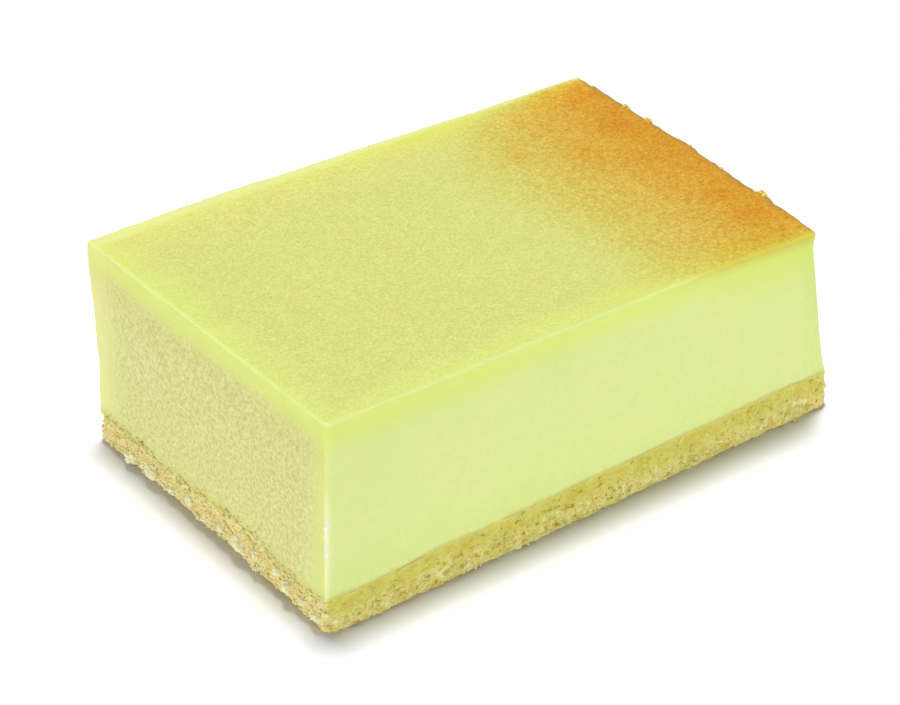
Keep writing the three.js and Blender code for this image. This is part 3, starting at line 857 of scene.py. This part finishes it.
masks = {
    "skin": skin, "porous": porous, "brown": brown, "margin": margin, "upper": upper,
    "golden": golden, "gold_edge": gold_edge, "far_glow": far_glow, "left_top": left_top,
    "right_margin": right_margin, "near_edge": near_edge, "far_edge": far_edge, "rim": rim,
    "left_margin": left_margin, "far_margin": far_margin, "fringe": fringe,
    "edge_line": edge_line, "pale_tear_and_highlight": pale_tear_and_highlight, "foot_shade": foot_shade,
}
filling_points = np.concatenate([filling_points, [[*middle, join_height(*middle)]]])

filling_material, tree, shader = new_material("baked_cheese")
# The cuts: even and pale, yellower near the top and along the grainy end's margins.
cut_shade = blend(tree, mottled(tree, 0.014, 3.0), colour(221, 234, 147), colour(226, 237, 153))
cut_shade = blend(tree, maths(tree, "MULTIPLY", mottled(tree, 0.0011, 3.0), 0.6),
                  cut_shade, colour(217, 230, 136))
for mask, tint in (("left_margin", colour(224, 230, 131)), ("far_margin", colour(233, 234, 149)),
                   ("upper", colour(223, 237, 118)), ("golden", colour(221, 234, 112))):
    cut_shade = blend(tree, layer(tree, mask), cut_shade, tint)

# The grainy end and the top skin, both with fine grains.
_, grain_height = gritty(tree, 0.00048)
grain_tone, _ = gritty(tree, 0.00038)
grain_wander = maths(tree, "MULTIPLY_ADD", mottled(tree, 0.0006, 3.0), 0.75,
                     maths(tree, "MULTIPLY", grain_tone, 0.25))
porous_shade = colour_ramp(tree, grain_wander, (
    (0.0, colour(198, 195, 115)), (0.45, colour(217, 217, 140)), (0.8, colour(230, 230, 159)),
    (1.0, colour(239, 239, 179))))
skin_grain = maths(tree, "MULTIPLY_ADD", mottled(tree, 0.0004, 2.0), 0.6,
                   maths(tree, "MULTIPLY", grain_tone, 0.4))
skin_shade = blend(tree, skin_grain, colour(198, 200, 106), colour(224, 228, 140))
margin_shade = blend(tree, skin_grain, colour(206, 216, 108), colour(224, 232, 134))
skin_shade = blend(tree, layer(tree, "margin"), skin_shade, margin_shade)
skin_shade = blend(tree, maths(tree, "MULTIPLY", layer(tree, "fringe"), 0.35),
                   skin_shade, colour(217, 220, 80))

# The browned skin: straw to brown by how far it browned, varied from grain to grain.
brown_grain = maths(tree, "MULTIPLY_ADD", mottled(tree, 0.0009, 3.0), 0.35,
                    maths(tree, "MULTIPLY", skin_grain, 0.65))
brown_amount = maths(tree, "MULTIPLY_ADD", brown_grain, -0.4,
                     maths(tree, "ADD", layer(tree, "brown"), 0.2))
brown_shade = colour_ramp(tree, maths(tree, "MULTIPLY", brown_amount, 0.84), (
    (0.0, colour(212, 216, 125)), (0.1, colour(210, 211, 115)), (0.21, colour(210, 202, 102)),
    (0.3, colour(210, 193, 90)), (0.44, colour(211, 182, 75)), (0.62, colour(212, 167, 56)),
    (0.81, colour(210, 151, 34)), (1.0, colour(207, 132, 17))))
brown_depth = remap(tree, layer(tree, "brown"), 0.1, 0.5, 0.3, 1.0)
grain_offset = maths(tree, "MULTIPLY", maths(tree, "SUBTRACT", brown_grain, 0.5), brown_depth)
brown_gain = vector_maths(tree, "MULTIPLY_ADD", {
    0: grain_offset, 1: (0.52, 0.54, 1.4), 2: (1.0, 1.0, 1.0)})
brown_shade = vector_maths(tree, "MULTIPLY", {0: brown_shade, 1: brown_gain})
brown_mask = remap(tree, layer(tree, "brown"), 0.0, 0.2)

# Each over the one before, then the tints along edges, rim and foot.
shade = blend(tree, layer(tree, "porous"), cut_shade, porous_shade)
shade = blend(tree, layer(tree, "skin"), shade, skin_shade)
shade = blend(tree, brown_mask, shade, brown_shade)
fringe_mask = maths(tree, "MULTIPLY", layer(tree, "fringe"),
                    remap(tree, layer(tree, "brown"), 0.0, 0.5))
gain = (1.0, 1.0, 1.0)
for mask, change in ((fringe_mask, (0.0, -0.02, -0.4)),
                     (layer(tree, "far_glow"), (0.06, 0.01, -0.05)),
                     (layer(tree, "left_top"), (-0.01, -0.03, -0.11)),
                     (layer(tree, "right_margin"), (-0.07, -0.01, -0.12))):
    gain = vector_maths(tree, "MULTIPLY_ADD", {0: mask, 1: change, 2: gain})
shade = vector_maths(tree, "MULTIPLY", {0: shade, 1: gain})
for mask, amount, tint in (
        ("gold_edge", 1.0, colour(212, 196, 68)), ("rim", 0.8, colour(168, 136, 62)),
        ("near_edge", 1.0, colour(211, 222, 129)), ("edge_line", 0.8, colour(211, 221, 150)),
        # The white band is partly a painted highlight on the upright front edge.
        ("far_edge", 0.8, colour(228, 233, 147)), ("pale_tear_and_highlight", 1.0, colour(236, 244, 184)),
        ("foot_shade", 1.0, colour(219, 217, 124))):
    shade = blend(tree, maths(tree, "MULTIPLY", layer(tree, mask), amount), shade, tint)

# Fine bumps of skin, pores and cuts, then the gloss and the light let in.
skin_height = maths(tree, "MULTIPLY", skin_grain,
                    maths(tree, "MULTIPLY", layer(tree, "skin"), 0.00006))
porous_height = maths(tree, "MULTIPLY", maths(tree, "ADD", grain_wander, grain_height),
                      maths(tree, "MULTIPLY", layer(tree, "porous"), 0.00004))
cut_height = maths(tree, "MULTIPLY", mottled(tree, 0.0004, 2.0), 0.00001)
total_height = maths(tree, "ADD", maths(tree, "ADD", skin_height, porous_height), cut_height)
bump = add(tree, "ShaderNodeBump", {"Strength": 1.0, "Distance": 1.0, "Height": total_height})
feed(tree, shader, {
    "Base Color": shade, "Normal": bump.outputs[0],
    "Roughness": maths(tree, "MULTIPLY_ADD", layer(tree, "porous"), 0.22, 0.5),
    "Specular IOR Level": 0.3, "Subsurface Weight": 0.3,
    "Subsurface Radius": (1.0, 0.8, 0.4), "Subsurface Scale": 0.0014})

filling = new_piece("cheese_block", filling_points, filling_faces, filling_material, {
    mask: np.append(np.clip(values, 0, 2), 0.0) for mask, values in masks.items()})
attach(filling, "root")
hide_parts("cheese_filling")

# ---------------------------------------------------------------------------
# Rim crumbs: small bits of skin and cheese that baked onto the top rim at the browned end.
# They sit half sunk in the edge, pale where they were cut free.
rim_table = ((43.4, 0.56), (42.6, 0.36), (37.8, 0.54), (38.5, 0.36), (28.2, 0.4),
             (20.6, 0.34), (12.1, 0.66), (11.5, 0.5))
rim_y, rim_size = np.array(rim_table).T
rim_x = right_face(rim_y, HEIGHT) - 0.3 * rim_size - 0.12
rim_centres = np.column_stack([rim_x, rim_y, top_height(rim_x, rim_y) - 0.3 * rim_size])
rim_points, rim_faces, rim_tones = lumps(rim_centres, rim_size * 0.9, 71, 4, 0.45, (1, 1, 0.8))
rim_material, *_ = crumb_material("rim_crumb", (
    (0.0, colour(234, 214, 112)), (0.3, colour(226, 196, 92)), (0.6, colour(216, 176, 72)),
    (0.8, colour(204, 156, 58)), (1.0, colour(190, 136, 48))), 0.6, 0.6)
rim_crumbs = new_piece("rim_crumbs", rim_points, rim_faces, rim_material,
                       {"tone": 0.2 + 0.4 * rim_tones})
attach(rim_crumbs, "root")

# ---------------------------------------------------------------------------
# Corner flecks: thin white flakes of cheese that the knife tore from the front upright corner.
# They cling to the edge between the grainy end and the smooth side. Their near-white colour is
# partly a painted highlight.
fleck_draw = np.random.default_rng(19)
fleck_z = np.array([20.4, 18.5, 17.9, 17.1, 14.4, 13.6, 12.9, 10.2, 9.3, 8.4])
fleck_size = np.array([0.24, 0.3, 0.42, 0.34, 0.3, 0.38, 0.32, 0.3, 0.34, 0.28])
fleck_centres = np.column_stack([
    left_face(0 * fleck_z, fleck_z) + fleck_draw.uniform(0.2, 0.4, len(fleck_z)),
    front_face(0 * fleck_z, fleck_z) + fleck_draw.uniform(0.2, 0.27, len(fleck_z)),
    fleck_z,
])
fleck_points, fleck_faces, fleck_tones = lumps(
    fleck_centres, fleck_size, 23, 4, 0.32, (0.75, 0.55, 1))
own_z = np.repeat(fleck_z, len(fleck_points) // len(fleck_z))
fleck_points[:, 2] = mix(own_z, fleck_points[:, 2], 2.0)
# Near-white flakes, partly a painted highlight, with no painted crevice shade.
fleck_and_highlight_material, *_ = crumb_material("cheese_fleck_and_highlight", (
    (0.0, colour(254, 255, 236)), (0.5, colour(252, 254, 228)), (0.8, colour(250, 253, 220)),
    (0.9, colour(248, 252, 214)), (1.0, colour(246, 250, 208))), 0.3, 0.5, 0.00001, 0.0)
flecks = new_piece("corner_flecks", fleck_points, fleck_faces, fleck_and_highlight_material,
                   {"tone": 0.4 * fleck_tones})
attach(flecks, "root")

# ---------------------------------------------------------------------------
# Join crumbs: on the grainy end the knife dragged biscuit up over the join, so small
# crumbs stick to the foot of the filling and no clean line shows between the layers.
ACROSS, UP = 160, 9
join_y, join_rise = np.meshgrid(
    np.linspace(1.0, 55.0, ACROSS), np.linspace(-0.9, 1.3, UP), indexing="ij")
join_z = join_height(0 * join_y.ravel(), join_y.ravel()) + join_rise.ravel()
join_points = np.column_stack([
    left_face(join_y.ravel(), join_z) - 0.02, join_y.ravel(), join_z])
row, column = np.meshgrid(np.arange(ACROSS - 1), np.arange(UP - 1), indexing="ij")
low_corner = (row * UP + column).ravel()
join_faces = np.column_stack([low_corner, low_corner + 1, low_corner + UP + 1, low_corner + UP])
thinning = 1 - ramp(join_rise.ravel() + 0.5 * relief(join_points, 1.8), 0.0, 1.3)
join_material, *_ = crumb_material("join_crumb", (
    (0.0, colour(238, 236, 176)), (0.3, colour(230, 222, 148)), (0.6, colour(226, 210, 130)),
    (0.85, colour(222, 198, 112)), (1.0, colour(214, 178, 94))), 0.4, 0.78)
join_host = new_piece("join_host", join_points, join_faces.tolist(), join_material, {
    "tone": np.full(len(join_points), 0.5), "crumbly": thinning})
join_mesh = join_host.data.copy()
bpy.data.objects.remove(join_host)
scattered_crumbs("crumbs_join", join_mesh, join_material, Density=2400000.0, Smallest=0.00014,
                 Largest=0.00036, Sunk=0.45, Spread=0.6, Detail=3, Seed=23)
